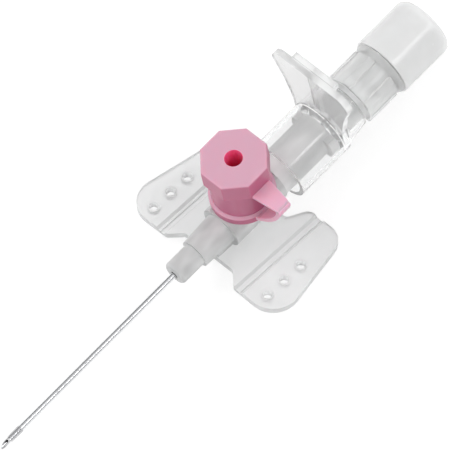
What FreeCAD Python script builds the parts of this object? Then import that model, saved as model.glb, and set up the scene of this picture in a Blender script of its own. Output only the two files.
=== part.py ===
"""Ported, winged peripheral IV cannula, 20 gauge, with its introducer needle in place.

Stations run along the hub axis from the needle point towards the rear cap (+X).
Heights are measured from the hub axis, with the injection port pointing up (+Z).
The finished solids are moved so that the row's origin is the centre of the
footprint, at the height of the lowest edge of the wings. Units are millimetres.
"""
import FreeCAD, Part
import math
import os

# Introducer needle
NEEDLE_R = 0.40
NEEDLE_WALL = 0.12
BEVEL_LENGTH = 1.75
LANCET_ANGLE = 36.0
LANCET_ROLL = 38.0
NEEDLE_REACH = 1.82

# Catheter tube and the ferrule that locks it into the nose
CATHETER_GAP = 0.03
CATHETER_WALL = 0.12
CATHETER_TIP_WALL = 0.04
CATHETER_TAPER = 2.2
CATHETER_EXPOSED = 33.0
FLARE_INSET = 1.6
FLARE_CONE = 0.5
FLARE_LENGTH = 3.2
FERRULE_GAP = 0.05
FERRULE_WALL = 0.12
FERRULE_INSET = 0.3
FERRULE_TUBE = 4.4
FUNNEL_LENGTH = 0.9
FUNNEL_RISE = 0.93
MOULDED_IN_GAP = 0.02

# Luer taper, 6 per cent on diameter
LUER_MOUTH_R = 2.135
LUER_SLOPE = 0.03
LUER_DEPTH = 7.6
MALE_GAP = 0.02
MALE_REACH = 6.0

# Catheter hub: nose, neck, port block and luer barrel with its two lugs
NOSE_R = 1.82
NOSE_LENGTH = 4.2
NOSE_ROUND = 0.45
NECK_R = 2.24
NECK_REAR_R = 2.50
NECK_LENGTH = 5.3
BLOCK_R = 3.25
BLOCK_LENGTH = 9.9
BARREL_WALL = 0.945
BARREL_LENGTH = 9.8
LUG_RISE = 0.77
LUG_LENGTH = 1.4
LUG_HALF_WIDTH = 1.9

# Injection port and its silicone sleeve valve
PORT_SEAT_Z = 2.60
TOWER_WALL = 1.265
TOWER_TOP_Z = 9.50
TOWER_SINK = 0.5
PORT_LUER_DEPTH = 6.3
PORT_HOLE_R = 1.0
VALVE_R = 1.80
VALVE_WALL = 0.55
VALVE_LENGTH = 8.6

# Wings: one sloping plate under the hub, grooved so that the outer panels fold
WING_SLOPE = 7.4
WING_DROP = 0.48
WING_THICK = 1.0
WING_ROOT_FRONT = 7.9
WING_ROOT_REAR = 3.3
WING_ROOT_Y = 4.45
WING_FRONT = 10.0
WING_SHOULDER_FRONT = 9.8
WING_SHOULDER_Y = 6.4
WING_REAR = 6.4
WING_REAR_Y = 5.5
WING_WAIST_Y = 3.95
WING_OUTER_Y = 13.25
WING_OUTER_SLOPE = 0.19
WING_CORNER_FRONT = 3.9
WING_CORNER_REAR = 2.9
WING_SHOULDER_ROUND = 0.7
WING_HEEL_ROUND = 1.3
WING_ROOT_ROUND = 0.9
KEEL_HALF_WIDTH = 1.6
KEEL_SINK = 0.24
KEEL_INSET = 0.2
GROOVE_Y = 7.40
GROOVE_TOP_WIDTH = 1.66
GROOVE_FLOOR_WIDTH = 1.10
GROOVE_DEPTH = 0.50
FOLD_GAP = 0.02
FOLD_UP = 45.0
FOLD_DOWN = 20.0
WING_HOLES = 3
WING_HOLE_R = 0.60
WING_HOLE_Y = 10.84
WING_HOLE_FIRST = -7.7
WING_HOLE_PITCH = 3.33

# Port cap: collar that turns on the tower, strap, and hinged octagonal lid
COLLAR_GAP = 0.08
COLLAR_LIFT = 0.06
COLLAR_WALL = 0.82
FLANGE_RISE = 0.45
FLANGE_HEIGHT = 1.50
FLANGE_CHAMFER = 0.35
LID_GAP = 0.10
LID_ACROSS_FLATS = 9.26
LID_HEIGHT = 3.47
LID_ROUND = 0.35
LID_HOLE_R = 1.31
LID_HOLE_FLOOR = 0.60
LID_OPENS = 115.0
PLUG_GAP = 0.235
PLUG_TAPER = 0.25
PLUG_LENGTH = 2.2
STRAP_THICK = 0.62
STRAP_ROOT_HALF_WIDTH = 1.89
STRAP_LID_HALF_WIDTH = 1.72
STRAP_FOLD_HALF_WIDTH = 1.10
STRAP_LID_OVERLAP = 0.25
STRAP_BOW = 0.85
STRAP_CREST_INSET = 0.50
STRAP_CREST_RISE = 0.62
HINGE_REACH = 8.85
HINGE_DROP = 0.50
HINGE_R = 0.28
HINGE_GAP = 0.03
HINGE_SPARE = 3.5

# Needle hub: male luer, skirt, finger plate and neck, one clear moulding
SKIRT_CLEAR = 0.20
SKIRT_WALL = 0.65
SKIRT_LENGTH = 8.6
PLATE_GAP = 0.5
PLATE_THICK = 1.0
PLATE_WAIST_Z = 3.2
PLATE_SIDE_BOW = 0.33
PLATE_HALF = 7.15
PLATE_TOP_Z = 14.5
PLATE_CORNER_DROP = 2.2
PLATE_CORNER_INSET = 2.15
PLATE_CORNER_BOW = 0.66
RIB_THICK = 0.9
RIB_HALF = 3.9
RIB_HEIGHT = 1.1
RIB_RISE = 0.2
STEM_HALF_WIDTH = 0.6
GRIP_NECK_FRONT_R = 4.5
GRIP_NECK_WALL = 0.8
GRIP_NECK_LENGTH = 4.0
SOCKET_R = 3.05
SOCKET_DEPTH = 3.0

# Flash chamber, pressed into the needle hub's neck, and its vent filter
CHAMBER_LIP_LENGTH = 0.8
CHAMBER_LIP_R = 3.60
CHAMBER_R = 3.88
CHAMBER_RIB_RISE = 0.32
CHAMBER_RIB_ROOT = 0.1
CHAMBER_LENGTH = 5.4
CHAMBER_RIBS = 6
CHAMBER_RIB_WIDTH = 1.45
CHAMBER_WALL = 0.8
CHAMBER_FLANGE_RISE = 0.62
CHAMBER_FLANGE = 1.1
SPIGOT_WALL = 0.915
SPIGOT_LENGTH = 7.5
FILTER_LENGTH = 2.2

# Rear cap: a push-on luer cap with an inner plug
CAP_R = 4.66
CAP_GAP = 0.1
CAP_LENGTH = 9.0
CAP_WALL = 0.68
CAP_END = 1.2
CAP_ROUND = 1.0
CAP_PLUG_LENGTH = 6.0

# Number of short flats that make a rounded end
ROUND_FLATS = 3
# How far a cutting shape runs past the face that it cuts
SPARE = 1.0
# Closest distance at which two points or radii are taken as the same
SAME = 0.001

# Stations worked out from the sizes above
HUB_X = NEEDLE_REACH + CATHETER_EXPOSED
NECK_X = HUB_X + NOSE_LENGTH
BLOCK_X = NECK_X + NECK_LENGTH
PORT_X = BLOCK_X + BLOCK_LENGTH / 2
BARREL_X = BLOCK_X + BLOCK_LENGTH
HUB_END_X = BARREL_X + BARREL_LENGTH
LUER_INNER_X = HUB_END_X - LUER_DEPTH
FLARE_X = HUB_X + FLARE_INSET
FLARE_TUBE_X = FLARE_X + FLARE_CONE
CATHETER_END_X = FLARE_TUBE_X + FLARE_LENGTH
FERRULE_X = FLARE_TUBE_X + FERRULE_INSET
FUNNEL_X = FERRULE_X + FERRULE_TUBE
FUNNEL_END_X = FUNNEL_X + FUNNEL_LENGTH
VALVE_X = PORT_X - VALVE_LENGTH / 2
PLATE_X = HUB_END_X + PLATE_GAP
SKIRT_X = PLATE_X - SKIRT_LENGTH
GRIP_NECK_X = PLATE_X + PLATE_THICK
GRIP_END_X = GRIP_NECK_X + GRIP_NECK_LENGTH
SOCKET_X = GRIP_END_X - SOCKET_DEPTH
NEEDLE_END_X = SOCKET_X - MOULDED_IN_GAP
CHAMBER_X = GRIP_END_X + CHAMBER_LIP_LENGTH
CHAMBER_FLANGE_X = CHAMBER_X + CHAMBER_LENGTH
SPIGOT_X = CHAMBER_FLANGE_X + CHAMBER_FLANGE
SPIGOT_END_X = SPIGOT_X + SPIGOT_LENGTH
CAP_X = SPIGOT_X + CAP_GAP
TOTAL_LENGTH = CAP_X + CAP_LENGTH

# Radii of pieces that fit together
NEEDLE_BORE_R = NEEDLE_R - NEEDLE_WALL
CATHETER_BORE_R = NEEDLE_R + CATHETER_GAP
CATHETER_R = CATHETER_BORE_R + CATHETER_WALL
FERRULE_BORE_R = NEEDLE_R + FERRULE_GAP
FERRULE_R = FERRULE_BORE_R + FERRULE_WALL
FLARED_R = FERRULE_R + CATHETER_WALL
FUNNEL_R = FERRULE_R + FUNNEL_RISE
BARREL_R = LUER_MOUTH_R + BARREL_WALL
LUG_R = BARREL_R + LUG_RISE
SKIRT_BORE_R = LUG_R + SKIRT_CLEAR
SKIRT_R = SKIRT_BORE_R + SKIRT_WALL
TOWER_R = LUER_MOUTH_R + TOWER_WALL
COLLAR_BORE_R = TOWER_R + COLLAR_GAP
COLLAR_R = COLLAR_BORE_R + COLLAR_WALL
FLANGE_R = COLLAR_R + FLANGE_RISE
PLUG_TOP_R = LUER_MOUTH_R - PLUG_GAP
CHAMBER_BORE_R = CHAMBER_R - CHAMBER_WALL
CHAMBER_RIB_R = CHAMBER_R + CHAMBER_RIB_RISE
CHAMBER_FLANGE_R = CHAMBER_R + CHAMBER_FLANGE_RISE
SPIGOT_R = LUER_MOUTH_R + SPIGOT_WALL
SPIGOT_BORE_R = LUER_MOUTH_R - LUER_SLOPE * SPIGOT_LENGTH
WEB_R = (WING_THICK - GROOVE_DEPTH) / 2

# Place of the fold in the port cap's strap
HINGE_Y = -HINGE_REACH
HINGE_Z = TOWER_TOP_Z - HINGE_DROP

# Lowest edge of the wings, which the part rests on, against the skirt and cap
WING_TILT = math.radians(WING_SLOPE)
WING_TOP_Z = -BLOCK_R - WING_DROP
WING_LOW_Z = WING_TOP_Z - WING_REAR * math.sin(WING_TILT) - WING_THICK * math.cos(WING_TILT)
REST_HEIGHT = max(-WING_LOW_Z, SKIRT_R, CAP_R)

ORIGIN = FreeCAD.Vector(0, 0, 0)
X_AXIS = FreeCAD.Vector(1, 0, 0)
Y_AXIS = FreeCAD.Vector(0, 1, 0)
Z_AXIS = FreeCAD.Vector(0, 0, 1)
FRAME_SHIFT = FreeCAD.Vector(-TOTAL_LENGTH / 2, 0, REST_HEIGHT)
FAR = TOTAL_LENGTH / 2


def vec(x, y=0.0, z=0.0):
    return FreeCAD.Vector(x, y, z)


def flat(corners):
    """Plane face through corner points."""
    return Part.Face(Part.makePolygon(corners + [corners[0]]))


def joined(edges):
    """Plane face inside a ring of edges given in any order."""
    return Part.Face(Part.Wire(Part.__sortEdges__(edges)))


def line(start, stop):
    return Part.LineSegment(start, stop).toShape()


def turned(profile):
    """Solid of revolution about the hub axis, from (station, radius) corners."""
    return flat([vec(x, 0, r) for x, r in profile]).revolve(ORIGIN, X_AXIS, 360)


def rod(x, length, radius):
    """Cylinder along the hub axis."""
    return Part.makeCylinder(radius, length, vec(x), X_AXIS)


def cone(x, length, front_r, rear_r):
    """Tapered cylinder along the hub axis."""
    return Part.makeCone(front_r, rear_r, length, vec(x), X_AXIS)


def upright(radius, low_z, high_z):
    """Cylinder on the port axis."""
    return Part.makeCylinder(radius, high_z - low_z, vec(PORT_X, 0, low_z), Z_AXIS)


def box(low, high):
    size = high - low
    return Part.makeBox(size.x, size.y, size.z, low)


def bowed_middle(start, stop, bow):
    """Middle of an arc in a plane across the hub, that bows to one side of its chord."""
    side = X_AXIS.cross(stop - start).normalize()
    return (start + stop) * 0.5 + side * bow


def rounded_end(x, radius, size, side):
    """(station, radius) corners of a rounded end that faces back (-1) or forward (1)."""
    corners = []
    for step in range(ROUND_FLATS + 1):
        angle = math.pi / 2 * step / ROUND_FLATS
        inset = size * (1 - math.cos(angle))
        corners.append((x - side * inset, radius - size * (1 - math.sin(angle))))
    return corners if side < 0 else corners[::-1]


def rounded_outline(corners):
    """Face inside (x, y, radius) corners, with an arc at each rounded corner."""
    points = [vec(x, y) for x, y, _ in corners]
    edges = []
    ends = []
    for index, (_, _, radius) in enumerate(corners):
        corner = points[index]
        if radius == 0:
            ends.append((corner, corner))
            continue
        to_last = (points[index - 1] - corner).normalize()
        to_next = (points[(index + 1) % len(points)] - corner).normalize()
        half = to_last.getAngle(to_next) / 2
        reach = radius / math.tan(half)
        middle = corner + (to_last + to_next).normalize() * (radius / math.sin(half) - radius)
        start = corner + to_last * reach
        stop = corner + to_next * reach
        ends.append((start, stop))
        edges.append(Part.Arc(start, middle, stop).toShape())
    for index, (_, stop) in enumerate(ends):
        start = ends[(index + 1) % len(ends)][0]
        if stop.distanceToPoint(start) > SAME:
            edges.append(line(stop, start))
    return joined(edges)


def luer_r(depth):
    """Radius of the female luer taper at a depth from its mouth."""
    return LUER_MOUTH_R - LUER_SLOPE * depth


# Needle

def above_plane(pitch, roll, point):
    """Block whose lower face is a plane through point, for grinding the bevel."""
    block = box(vec(-FAR / 4, -FAR / 4, 0), vec(FAR, FAR / 4, FAR / 4))
    block.rotate(ORIGIN, Y_AXIS, -pitch)
    block.rotate(ORIGIN, X_AXIS, roll)
    block.translate(point)
    return block


def needle_cannula():
    tube = rod(0, NEEDLE_END_X, NEEDLE_R)
    tube = tube.cut(rod(-SPARE, NEEDLE_END_X + 2 * SPARE, NEEDLE_BORE_R))
    point = vec(0, 0, -NEEDLE_R)
    pitch = math.degrees(math.atan2(2 * NEEDLE_R, BEVEL_LENGTH))
    tube = tube.cut(above_plane(pitch, 0, point))
    for side in (-1, 1):
        tube = tube.cut(above_plane(LANCET_ANGLE, side * LANCET_ROLL, point))
    return tube


# Catheter

def catheter_tube():
    return turned([
        (NEEDLE_REACH, CATHETER_BORE_R),
        (NEEDLE_REACH, CATHETER_BORE_R + CATHETER_TIP_WALL),
        (NEEDLE_REACH + CATHETER_TAPER, CATHETER_R),
        (FLARE_X, CATHETER_R),
        (FLARE_TUBE_X, FLARED_R),
        (CATHETER_END_X, FLARED_R),
        (CATHETER_END_X, FERRULE_R),
        (FLARE_TUBE_X, FERRULE_R),
        (FLARE_X, CATHETER_BORE_R),
    ])


def crimp_ferrule():
    return turned([
        (FERRULE_X, FERRULE_BORE_R),
        (FERRULE_X, FERRULE_R),
        (FUNNEL_X, FERRULE_R),
        (FUNNEL_END_X, FUNNEL_R),
        (FUNNEL_END_X, FUNNEL_R - FERRULE_WALL),
        (FUNNEL_X, FERRULE_BORE_R),
    ])


# Wings

def wing_plan(low, high):
    """Block with the plan outline of the left wing, between two heights on its plate."""
    front_y = WING_OUTER_Y + WING_OUTER_SLOPE * WING_FRONT
    rear_y = WING_OUTER_Y - WING_OUTER_SLOPE * WING_REAR
    outline = rounded_outline([
        (-WING_ROOT_FRONT, 0, 0),
        (-WING_ROOT_FRONT, WING_ROOT_Y, WING_ROOT_ROUND),
        (-WING_SHOULDER_FRONT, WING_SHOULDER_Y, WING_SHOULDER_ROUND),
        (-WING_FRONT, front_y, WING_CORNER_FRONT),
        (WING_REAR, rear_y, WING_CORNER_REAR),
        (WING_REAR, WING_REAR_Y, WING_HEEL_ROUND),
        (WING_ROOT_REAR, WING_WAIST_Y, WING_ROOT_ROUND),
        (WING_ROOT_REAR, 0, 0),
    ])
    block = outline.extrude(vec(0, 0, high - low))
    block.translate(vec(0, 0, low))
    return block


def lengthwise(section):
    """Bar along the wing from a (y, height) section."""
    return flat([vec(-FAR / 2, y, z) for y, z in section]).extrude(vec(FAR))


def fold_height():
    """Height of the fold line on the plate: half way through the groove's web."""
    return -(GROOVE_DEPTH + WING_THICK) / 2


def fold_rod(radius):
    return Part.makeCylinder(radius, FAR, vec(-FAR / 2, GROOVE_Y, fold_height()), X_AXIS)


def wing_plate():
    """Left wing plate with its groove and holes, top face at height 0."""
    plate = wing_plan(-WING_THICK, 0)
    top = GROOVE_TOP_WIDTH / 2
    floor = GROOVE_FLOOR_WIDTH / 2
    plate = plate.cut(lengthwise([
        (GROOVE_Y - top, 0),
        (GROOVE_Y - floor, -GROOVE_DEPTH),
        (GROOVE_Y + floor, -GROOVE_DEPTH),
        (GROOVE_Y + top, 0),
    ]))
    for index in range(WING_HOLES):
        x = WING_HOLE_FIRST + WING_HOLE_PITCH * index
        foot = vec(x, WING_HOLE_Y, -WING_THICK)
        plate = plate.cut(Part.makeCylinder(WING_HOLE_R, WING_THICK, foot, Z_AXIS))
    return plate


def set_wing(shape, side):
    """Moves a shape from the flat left wing to its sloping place on the left or right."""
    if side < 0:
        shape = shape.mirror(ORIGIN, Y_AXIS)
    shape.rotate(ORIGIN, Y_AXIS, WING_SLOPE)
    shape.translate(vec(PORT_X, 0, WING_TOP_Z))
    return shape


def inner_wing(side):
    """The panel between the hub and the fold, ending in the fold's round edge."""
    inside = box(vec(-FAR / 2, 0, -FAR), vec(FAR / 2, GROOVE_Y, FAR))
    inner = wing_plate().common(inside)
    inner = inner.fuse(fold_rod(WEB_R).common(wing_plan(-WING_THICK, 0)))
    return set_wing(inner, side)


def wing_panel(side):
    """The panel outside the fold, cut back so that it can swing up and down."""
    z = fold_height()
    up = math.tan(math.radians(FOLD_UP)) * WING_THICK
    down = math.tan(math.radians(FOLD_DOWN)) * WING_THICK
    clear = lengthwise([
        (GROOVE_Y, z),
        (GROOVE_Y + up, z + WING_THICK),
        (FAR / 2, z + WING_THICK),
        (FAR / 2, z - WING_THICK),
        (GROOVE_Y + down, z - WING_THICK),
    ])
    panel = wing_plate().common(clear)
    return set_wing(panel.cut(fold_rod(WEB_R + FOLD_GAP)), side)


# Catheter hub

def hub_core():
    """Nose, neck, port block and barrel as one turned shape."""
    core = turned([
        (HUB_X, 0),
        *rounded_end(HUB_X, NOSE_R, NOSE_ROUND, -1),
        (NECK_X, NOSE_R),
        (NECK_X, NECK_R),
        (BLOCK_X, NECK_REAR_R),
        (BLOCK_X, BLOCK_R),
        (BARREL_X, BLOCK_R),
        (BARREL_X, BARREL_R),
        (HUB_END_X, BARREL_R),
        (HUB_END_X, 0),
    ])
    return core.cut(box(vec(BLOCK_X, -BLOCK_R, PORT_SEAT_Z), vec(BARREL_X, BLOCK_R, BLOCK_R)))


def hub_keel():
    """Spine that joins the wings to the neck and the block above them."""
    low = vec(PORT_X - WING_ROOT_FRONT + KEEL_INSET, -KEEL_HALF_WIDTH, WING_LOW_Z)
    high = vec(PORT_X + WING_ROOT_REAR - KEEL_INSET, KEEL_HALF_WIDTH, KEEL_SINK - NECK_R)
    under_wings = box(vec(-FAR, -FAR, -FAR), vec(FAR, FAR, -WING_THICK / 2))
    return box(low, high).cut(set_wing(under_wings, 1))


def hub_outside():
    lug_low = vec(BARREL_X, -LUG_R, -LUG_HALF_WIDTH)
    lug_high = vec(HUB_END_X, LUG_R, LUG_HALF_WIDTH)
    lugs = rod(HUB_END_X - LUG_LENGTH, LUG_LENGTH, LUG_R).common(box(lug_low, lug_high))
    tower = upright(TOWER_R, PORT_SEAT_Z - TOWER_SINK, TOWER_TOP_Z)
    outside = hub_core().fuse([lugs, tower, hub_keel()])
    return outside.fuse([inner_wing(1), inner_wing(-1)])


def hub_passages():
    gap = MOULDED_IN_GAP
    catheter_way = turned([
        (HUB_X - SPARE, 0),
        (HUB_X - SPARE, CATHETER_R + gap),
        (FLARE_X, CATHETER_R + gap),
        (FLARE_X, FLARED_R + gap),
        (FUNNEL_X, FLARED_R + gap),
        (FUNNEL_X, FUNNEL_R + gap),
        (VALVE_X, FUNNEL_R + gap),
        (VALVE_X, 0),
    ])
    valve_way = rod(VALVE_X, LUER_INNER_X - VALVE_X, VALVE_R)
    luer = cone(LUER_INNER_X, LUER_DEPTH, luer_r(LUER_DEPTH), LUER_MOUTH_R)
    port_floor = vec(PORT_X, 0, TOWER_TOP_Z - PORT_LUER_DEPTH)
    port_floor_r = luer_r(PORT_LUER_DEPTH)
    port_luer = Part.makeCone(port_floor_r, LUER_MOUTH_R, PORT_LUER_DEPTH, port_floor, Z_AXIS)
    port_hole = upright(PORT_HOLE_R, 0, port_floor.z + SPARE)
    return [catheter_way, valve_way, luer, port_luer, port_hole]


def catheter_hub():
    hub = hub_outside()
    for passage in hub_passages():
        hub = hub.cut(passage)
    return hub.removeSplitter()


def port_valve():
    return rod(VALVE_X, VALVE_LENGTH, VALVE_R).cut(rod(VALVE_X, VALVE_LENGTH, VALVE_R - VALVE_WALL))


# Port cap

def tapered(face, root_y, root_half_width):
    """Strap half from its side face, narrowing from its root to the fold."""
    band = face.extrude(vec(2 * root_half_width))
    band.translate(vec(-root_half_width))
    end_y = HINGE_Y - STRAP_THICK
    plan = []
    for side in (-1, 1):
        half = [
            vec(PORT_X + side * root_half_width, 0, -FAR),
            vec(PORT_X + side * root_half_width, root_y, -FAR),
            vec(PORT_X + side * STRAP_FOLD_HALF_WIDTH, HINGE_Y, -FAR),
            vec(PORT_X + side * STRAP_FOLD_HALF_WIDTH, end_y, -FAR),
        ]
        plan += half if side < 0 else half[::-1]
    return band.common(flat(plan).extrude(vec(0, 0, 2 * FAR)))


def low_strap(start_y, start_z):
    """Curved half of the strap, from the collar's flange up to the fold."""
    start = vec(PORT_X, start_y, start_z)
    stop = vec(PORT_X, HINGE_Y, HINGE_Z)
    middle = bowed_middle(start, stop, STRAP_BOW)
    centre = Part.Arc(start, middle, stop).toShape().Curve.Center
    edges = []
    rims = []
    for offset in (-STRAP_THICK / 2, STRAP_THICK / 2):
        rim = [point + (point - centre).normalize() * offset for point in (start, middle, stop)]
        edges.append(Part.Arc(rim[0], rim[1], rim[2]).toShape())
        rims.append(rim)
    edges.append(line(rims[0][0], rims[1][0]))
    edges.append(line(rims[0][2], rims[1][2]))
    return tapered(joined(edges), start_y, STRAP_ROOT_HALF_WIDTH)


def high_strap(start_y, start_z):
    """Straight half of the strap, from under the lid out to its crest and down to the fold."""
    half = STRAP_THICK / 2
    crest_y = HINGE_Y + STRAP_CREST_INSET
    crest_z = HINGE_Z + STRAP_CREST_RISE
    face = flat([
        vec(PORT_X, start_y, start_z + half),
        vec(PORT_X, crest_y, crest_z),
        vec(PORT_X, HINGE_Y - half, HINGE_Z),
        vec(PORT_X, HINGE_Y + half, HINGE_Z),
        vec(PORT_X, start_y, start_z - half),
    ])
    return tapered(face, start_y, STRAP_LID_HALF_WIDTH)


def fold_wedge(direction):
    """Room for the strap half above (1) or below (-1) the fold, clear of the other half."""
    lean = math.radians((180 - LID_OPENS) / 2 - HINGE_SPARE)
    spare = math.radians(HINGE_SPARE)
    x = PORT_X - FAR / 2
    rise = direction * FAR / 2
    wedge = flat([
        vec(x, HINGE_Y, HINGE_Z),
        vec(x, HINGE_Y - FAR / 2 * math.tan(lean), HINGE_Z + rise),
        vec(x, HINGE_Y + FAR / 2, HINGE_Z + rise),
        vec(x, HINGE_Y + FAR / 2, HINGE_Z + rise * math.tan(spare)),
    ])
    return wedge.extrude(vec(FAR))


def fold_knuckle(radius):
    start = vec(PORT_X - STRAP_FOLD_HALF_WIDTH, HINGE_Y, HINGE_Z)
    return Part.makeCylinder(radius, 2 * STRAP_FOLD_HALF_WIDTH, start, X_AXIS)


def port_cap_collar():
    low_z = PORT_SEAT_Z + COLLAR_LIFT
    top_z = low_z + FLANGE_HEIGHT
    flange = upright(FLANGE_R, low_z, top_z - FLANGE_CHAMFER)
    bevel_foot = vec(PORT_X, 0, top_z - FLANGE_CHAMFER)
    bevel = Part.makeCone(FLANGE_R, FLANGE_R - FLANGE_CHAMFER, FLANGE_CHAMFER, bevel_foot, Z_AXIS)
    sleeve = upright(COLLAR_R, low_z, TOWER_TOP_Z)
    strap = low_strap(-COLLAR_R, low_z + FLANGE_HEIGHT / 2).common(fold_wedge(-1))
    collar = flange.fuse([bevel, sleeve, strap, fold_knuckle(HINGE_R)])
    inside = upright(COLLAR_BORE_R, low_z - SPARE, TOWER_TOP_Z + SPARE)
    return collar.cut(inside).removeSplitter()


def lid_head(low_z):
    """Octagonal head with its flats facing along and across the hub."""
    corner_r = LID_ACROSS_FLATS / 2 / math.cos(math.pi / 8)
    corners = []
    for index in range(8):
        angle = math.pi / 8 + index * math.pi / 4
        corners.append(vec(PORT_X + corner_r * math.cos(angle), corner_r * math.sin(angle), low_z))
    head = flat(corners).extrude(vec(0, 0, LID_HEIGHT))
    top_edges = [edge for edge in head.Edges if edge.BoundBox.ZMin > low_z + LID_HEIGHT - SAME]
    return head.makeFillet(LID_ROUND, top_edges)


def port_cap_lid():
    low_z = TOWER_TOP_Z + LID_GAP
    tip_z = low_z - PLUG_LENGTH
    plug_tip_r = PLUG_TOP_R - PLUG_TAPER
    plug = Part.makeCone(plug_tip_r, PLUG_TOP_R, PLUG_LENGTH, vec(PORT_X, 0, tip_z), Z_AXIS)
    strap = high_strap(-COLLAR_R - COLLAR_GAP, low_z + STRAP_LID_OVERLAP - STRAP_THICK / 2)
    strap = strap.common(fold_wedge(1)).cut(fold_knuckle(HINGE_R + HINGE_GAP))
    lid = lid_head(low_z).fuse([plug, strap])
    hole = upright(LID_HOLE_R, tip_z + LID_HOLE_FLOOR, low_z + LID_HEIGHT + SPARE)
    return lid.cut(hole).removeSplitter()


# Needle hub

def finger_plate():
    """Upright plate: round foot on the skirt, concave sides, rounded top corners."""
    def at(y, z):
        return vec(PLATE_X, y, z)

    edges = [Part.Arc(at(SKIRT_R, 0), at(0, -SKIRT_R), at(-SKIRT_R, 0)).toShape()]
    for side in (1, -1):
        waist = at(side * SKIRT_R, PLATE_WAIST_Z)
        corner = at(side * PLATE_HALF, PLATE_TOP_Z - PLATE_CORNER_DROP)
        top = at(side * (PLATE_HALF - PLATE_CORNER_INSET), PLATE_TOP_Z)
        side_middle = bowed_middle(waist, corner, side * PLATE_SIDE_BOW)
        corner_middle = bowed_middle(corner, top, -side * PLATE_CORNER_BOW)
        edges.append(line(at(side * SKIRT_R, 0), waist))
        edges.append(Part.Arc(waist, side_middle, corner).toShape())
        edges.append(Part.Arc(corner, corner_middle, top).toShape())
    top_half = PLATE_HALF - PLATE_CORNER_INSET
    edges.append(line(at(top_half, PLATE_TOP_Z), at(-top_half, PLATE_TOP_Z)))
    return joined(edges).extrude(vec(PLATE_THICK))


def needle_hub():
    skirt = rod(SKIRT_X, SKIRT_LENGTH, SKIRT_R).cut(rod(SKIRT_X, SKIRT_LENGTH, SKIRT_BORE_R))
    tip_x = HUB_END_X - MALE_REACH
    tip_r = luer_r(MALE_REACH) - MALE_GAP
    male = cone(tip_x, PLATE_X - tip_x, tip_r, luer_r(-PLATE_GAP) - MALE_GAP)
    neck_rear_r = SOCKET_R + GRIP_NECK_WALL
    neck = cone(GRIP_NECK_X, GRIP_NECK_LENGTH, GRIP_NECK_FRONT_R, neck_rear_r)
    rear_x = GRIP_NECK_X + RIB_THICK
    rib_top_z = PLATE_TOP_Z + RIB_RISE
    rib = box(vec(PLATE_X, -RIB_HALF, rib_top_z - RIB_HEIGHT), vec(rear_x, RIB_HALF, rib_top_z))
    rib = rib.cut(box(vec(PLATE_X, -RIB_HALF, 0), vec(GRIP_NECK_X, RIB_HALF, rib_top_z)))
    stem = box(vec(GRIP_NECK_X, -STEM_HALF_WIDTH, 0), vec(rear_x, STEM_HALF_WIDTH, PLATE_TOP_Z))
    hub = finger_plate().fuse([skirt, male, neck, rib, stem])
    hub = hub.cut(rod(SOCKET_X, SOCKET_DEPTH + SPARE, SOCKET_R))
    needle_way = rod(tip_x - SPARE, SOCKET_X - tip_x + 2 * SPARE, NEEDLE_R)
    return hub.cut(needle_way).removeSplitter()


# Flash chamber and rear cap

def flash_chamber():
    body = turned([
        (SOCKET_X, SPIGOT_BORE_R),
        (SOCKET_X, SOCKET_R),
        (GRIP_END_X, SOCKET_R),
        (GRIP_END_X, CHAMBER_LIP_R),
        (CHAMBER_X, CHAMBER_LIP_R),
        (CHAMBER_X, CHAMBER_R),
        (CHAMBER_FLANGE_X, CHAMBER_R),
        (SPIGOT_X, CHAMBER_FLANGE_R),
        (SPIGOT_X, SPIGOT_R),
        (SPIGOT_END_X, SPIGOT_R),
        (SPIGOT_END_X, LUER_MOUTH_R),
        (SPIGOT_X, SPIGOT_BORE_R),
        (CHAMBER_FLANGE_X, SPIGOT_BORE_R),
        (CHAMBER_FLANGE_X, CHAMBER_BORE_R),
        (CHAMBER_X, CHAMBER_BORE_R),
        (CHAMBER_X, SPIGOT_BORE_R),
    ])
    ribs_outside = rod(CHAMBER_X, CHAMBER_LENGTH, CHAMBER_RIB_R)
    ribs_inside = rod(CHAMBER_X, CHAMBER_LENGTH, CHAMBER_R - CHAMBER_RIB_ROOT)
    ring = ribs_outside.cut(ribs_inside)
    half = CHAMBER_RIB_WIDTH / 2
    for index in range(CHAMBER_RIBS):
        rib = box(vec(CHAMBER_X, -half, 0), vec(CHAMBER_FLANGE_X, half, CHAMBER_RIB_R))
        rib.rotate(ORIGIN, X_AXIS, 360 * index / CHAMBER_RIBS)
        body = body.fuse(rib.common(ring))
    return body.removeSplitter()


def vent_filter():
    return rod(CHAMBER_FLANGE_X - FILTER_LENGTH, FILTER_LENGTH, CHAMBER_BORE_R)


def rear_cap():
    floor_x = TOTAL_LENGTH - CAP_END
    tip_x = floor_x - CAP_PLUG_LENGTH
    return turned([
        (CAP_X, CAP_R - CAP_WALL),
        (CAP_X, CAP_R),
        *rounded_end(TOTAL_LENGTH, CAP_R, CAP_ROUND, 1),
        (TOTAL_LENGTH, 0),
        (tip_x, 0),
        (tip_x, luer_r(SPIGOT_END_X - tip_x) - MALE_GAP),
        (floor_x, luer_r(SPIGOT_END_X - floor_x) - MALE_GAP),
        (floor_x, CAP_R - CAP_WALL),
    ])


NODES = {
    "needle_cannula": needle_cannula,
    "catheter_tube": catheter_tube,
    "crimp_ferrule": crimp_ferrule,
    "catheter_hub": catheter_hub,
    "wing_panel_left": lambda: wing_panel(1),
    "wing_panel_right": lambda: wing_panel(-1),
    "port_valve": port_valve,
    "port_cap_collar": port_cap_collar,
    "port_cap_lid": port_cap_lid,
    "needle_hub": needle_hub,
    "flash_chamber": flash_chamber,
    "vent_filter": vent_filter,
    "rear_cap": rear_cap,
}

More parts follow.
